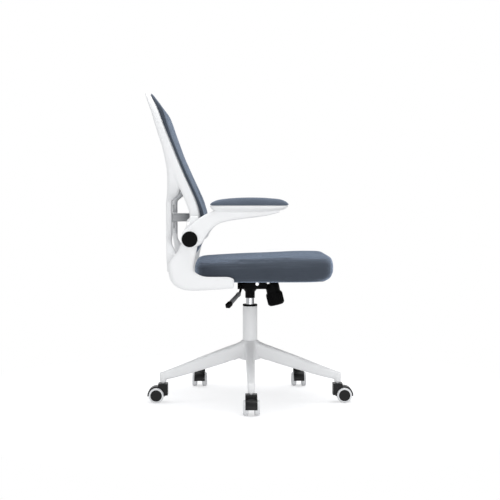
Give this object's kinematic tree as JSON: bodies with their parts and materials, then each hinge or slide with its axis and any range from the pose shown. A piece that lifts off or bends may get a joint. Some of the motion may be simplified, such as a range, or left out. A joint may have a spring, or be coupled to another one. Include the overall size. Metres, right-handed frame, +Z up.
{
  "type": "office chair",
  "caption": "Office chair on a star base with castors: padded seat, mesh back in a ring frame, flip-up padded arms, gas lift, tilt mechanism with tension knob and lever.",
  "frame": {"origin": "on the floor under the centre line of the lift column, seat at its lowest setting", "axes": "+Z up, +X towards the front of the chair, +Y to the sitter's left"},
  "size_m": [0.6918, 0.6888, 1.035],
  "materials": {
    "white_plastic": "satin moulded nylon",
    "black_plastic": "fine moulded grain",
    "zinc_steel": "bright zinc plate",
    "white_nylon": "satin wheel tread",
    "chrome_tube": "polished",
    "black_steel": "powder coat",
    "plywood": "birch plywood stained black",
    "seat_fabric": "knitted cloth over foam",
    "back_fabric": "spacer mesh",
    "pad_fabric": "knitted cloth over foam"
  },
  "bodies": {
    "base": {"base_star": "white_plastic", "caster_stems": "zinc_steel", "lift_outer_tube": "white_plastic", "lift_collar": "black_plastic"},
    "lift_rod": {"piston_rod": "zinc_steel"},
    "mechanism": {"lift_cylinder": "chrome_tube", "mechanism_housing": "black_plastic", "tilt_pin": "zinc_steel", "tension_spring": "zinc_steel"},
    "release": {"release_pin": "zinc_steel"},
    "lock": {"lock_block": "black_plastic"},
    "lever": {"height_lever": "black_plastic", "lever_grip": "black_plastic"},
    "seat": {"seat_plate": "black_steel", "seat_board": "plywood", "seat_cushion": "seat_fabric", "frame_bolts": "zinc_steel", "bracket_left": "white_plastic", "bracket_right": "white_plastic", "back_frame": "white_plastic", "back_mesh": "back_fabric", "pivot_caps": "black_plastic"},
    "screw": {"tension_screw": "zinc_steel"},
    "cup": {"spring_cup": "zinc_steel"},
    "knob": {"tension_knob": "black_plastic"},
    "lumbar": {"lumbar_bar": "white_plastic"},
    "arm_l": {"arm_left": "white_plastic", "arm_pad_left": "pad_fabric"},
    "arm_r": {"arm_right": "white_plastic", "arm_pad_right": "pad_fabric"},
    "caster_1": {"caster_hood_1": "black_plastic", "caster_axle_1": "zinc_steel"},
    "wheel_body_1a": {"wheel_1a": "white_nylon", "wheel_disc_1a": "black_plastic"},
    "wheel_body_1b": {"wheel_1b": "white_nylon", "wheel_disc_1b": "black_plastic"},
    "caster_2": {"caster_hood_2": "black_plastic", "caster_axle_2": "zinc_steel"},
    "wheel_body_2a": {"wheel_2a": "white_nylon", "wheel_disc_2a": "black_plastic"},
    "wheel_body_2b": {"wheel_2b": "white_nylon", "wheel_disc_2b": "black_plastic"},
    "caster_3": {"caster_hood_3": "black_plastic", "caster_axle_3": "zinc_steel"},
    "wheel_body_3a": {"wheel_3a": "white_nylon", "wheel_disc_3a": "black_plastic"},
    "wheel_body_3b": {"wheel_3b": "white_nylon", "wheel_disc_3b": "black_plastic"},
    "caster_4": {"caster_hood_4": "black_plastic", "caster_axle_4": "zinc_steel"},
    "wheel_body_4a": {"wheel_4a": "white_nylon", "wheel_disc_4a": "black_plastic"},
    "wheel_body_4b": {"wheel_4b": "white_nylon", "wheel_disc_4b": "black_plastic"},
    "caster_5": {"caster_hood_5": "black_plastic", "caster_axle_5": "zinc_steel"},
    "wheel_body_5a": {"wheel_5a": "white_nylon", "wheel_disc_5a": "black_plastic"},
    "wheel_body_5b": {"wheel_5b": "white_nylon", "wheel_disc_5b": "black_plastic"}
  },
  "joints": [
    {"name": "seat_swivel", "type": "hinge", "parent": "base", "child": "lift_rod", "pos_m": [0, 0, 0.131], "axis": [0, 0, 1], "continuous": true},
    {"name": "seat_height", "type": "slide", "parent": "lift_rod", "child": "mechanism", "axis": [0, 0, 1], "range_m": [0, 0.1]},
    {"name": "seat_tilt", "type": "hinge", "parent": "mechanism", "child": "seat", "pos_m": [0.024, 0, 0.393], "axis": [0, -1, 0], "range_deg": [0, 12], "stiffness_Nm_per_rad": 60, "springref_deg": -28.65, "deforming": ["tension_spring"]},
    {"name": "tension_screw_slide", "type": "slide", "parent": "mechanism", "child": "screw", "axis": [-0.2334, 0, 0.9724], "range_m": [0, 0.0102]},
    {"name": "spring_cup_slide", "type": "slide", "parent": "screw", "child": "cup", "axis": [-0.2334, 0, 0.9724], "range_m": [0, 0.008], "deforming": ["tension_spring"]},
    {"name": "tension_knob_turn", "type": "hinge", "parent": "cup", "child": "knob", "pos_m": [0.0815, 0, 0.361], "axis": [0.2334, 0, -0.9724], "range_deg": [0, 1440]},
    {"name": "tilt_lock", "type": "slide", "parent": "mechanism", "child": "lock", "axis": [0, -1, 0], "range_m": [0, 0.008]},
    {"name": "height_lever_lift", "type": "hinge", "parent": "lock", "child": "lever", "pos_m": [-0.031, -0.0155, 0.383], "axis": [-1, 0, 0], "range_deg": [0, 8]},
    {"name": "release_pin_press", "type": "slide", "parent": "mechanism", "child": "release", "axis": [0, 0, -1], "range_m": [0, 0.0035]},
    {"name": "lumbar_height", "type": "slide", "parent": "seat", "child": "lumbar", "axis": [0, 0, 1], "range_m": [-0.025, 0.025]},
    {"name": "arm_flip_left", "type": "hinge", "parent": "seat", "child": "arm_l", "pos_m": [-0.194, 0.287, 0.554], "axis": [0, -1, 0], "range_deg": [0, 90]},
    {"name": "arm_flip_right", "type": "hinge", "parent": "seat", "child": "arm_r", "pos_m": [-0.194, -0.287, 0.554], "axis": [0, -1, 0], "range_deg": [0, 90]},
    {"name": "caster_swivel_1", "type": "hinge", "parent": "base", "child": "caster_1", "pos_m": [0, -0.308, 0.064], "axis": [0, 0, 1], "continuous": true},
    {"name": "wheel_roll_1a", "type": "hinge", "parent": "caster_1", "child": "wheel_body_1a", "pos_m": [0, -0.33, 0.025], "axis": [1, 0, 0], "continuous": true},
    {"name": "wheel_roll_1b", "type": "hinge", "parent": "caster_1", "child": "wheel_body_1b", "pos_m": [0, -0.33, 0.025], "axis": [1, 0, 0], "continuous": true},
    {"name": "caster_swivel_2", "type": "hinge", "parent": "base", "child": "caster_2", "pos_m": [0.29292, -0.09518, 0.064], "axis": [0, 0, 1], "continuous": true},
    {"name": "wheel_roll_2a", "type": "hinge", "parent": "caster_2", "child": "wheel_body_2a", "pos_m": [0.31493, -0.09518, 0.025], "axis": [0, 1, 0], "continuous": true},
    {"name": "wheel_roll_2b", "type": "hinge", "parent": "caster_2", "child": "wheel_body_2b", "pos_m": [0.31493, -0.09518, 0.025], "axis": [0, 1, 0], "continuous": true},
    {"name": "caster_swivel_3", "type": "hinge", "parent": "base", "child": "caster_3", "pos_m": [0.18104, 0.24918, 0.064], "axis": [0, 0, 1], "continuous": true},
    {"name": "wheel_roll_3a", "type": "hinge", "parent": "caster_3", "child": "wheel_body_3a", "pos_m": [0.18104, 0.22718, 0.025], "axis": [1, 0, 0], "continuous": true},
    {"name": "wheel_roll_3b", "type": "hinge", "parent": "caster_3", "child": "wheel_body_3b", "pos_m": [0.18104, 0.22718, 0.025], "axis": [1, 0, 0], "continuous": true},
    {"name": "caster_swivel_4", "type": "hinge", "parent": "base", "child": "caster_4", "pos_m": [-0.18104, 0.24918, 0.064], "axis": [0, 0, 1], "continuous": true},
    {"name": "wheel_roll_4a", "type": "hinge", "parent": "caster_4", "child": "wheel_body_4a", "pos_m": [-0.18104, 0.22718, 0.025], "axis": [1, 0, 0], "continuous": true},
    {"name": "wheel_roll_4b", "type": "hinge", "parent": "caster_4", "child": "wheel_body_4b", "pos_m": [-0.18104, 0.22718, 0.025], "axis": [1, 0, 0], "continuous": true},
    {"name": "caster_swivel_5", "type": "hinge", "parent": "base", "child": "caster_5", "pos_m": [-0.29292, -0.09518, 0.064], "axis": [0, 0, 1], "continuous": true},
    {"name": "wheel_roll_5a", "type": "hinge", "parent": "caster_5", "child": "wheel_body_5a", "pos_m": [-0.31493, -0.09518, 0.025], "axis": [0, -1, 0], "continuous": true},
    {"name": "wheel_roll_5b", "type": "hinge", "parent": "caster_5", "child": "wheel_body_5b", "pos_m": [-0.31493, -0.09518, 0.025], "axis": [0, -1, 0], "continuous": true}
  ],
  "couplings": [
    {"joint": "tension_screw_slide", "follows": "seat_tilt", "m_per_rad": 0.0485},
    {"joint": "spring_cup_slide", "follows": "tension_knob_turn", "m_per_rad": 0.00031831},
    {"joint": "release_pin_press", "follows": "height_lever_lift", "m_per_rad": 0.0245}
  ]
}
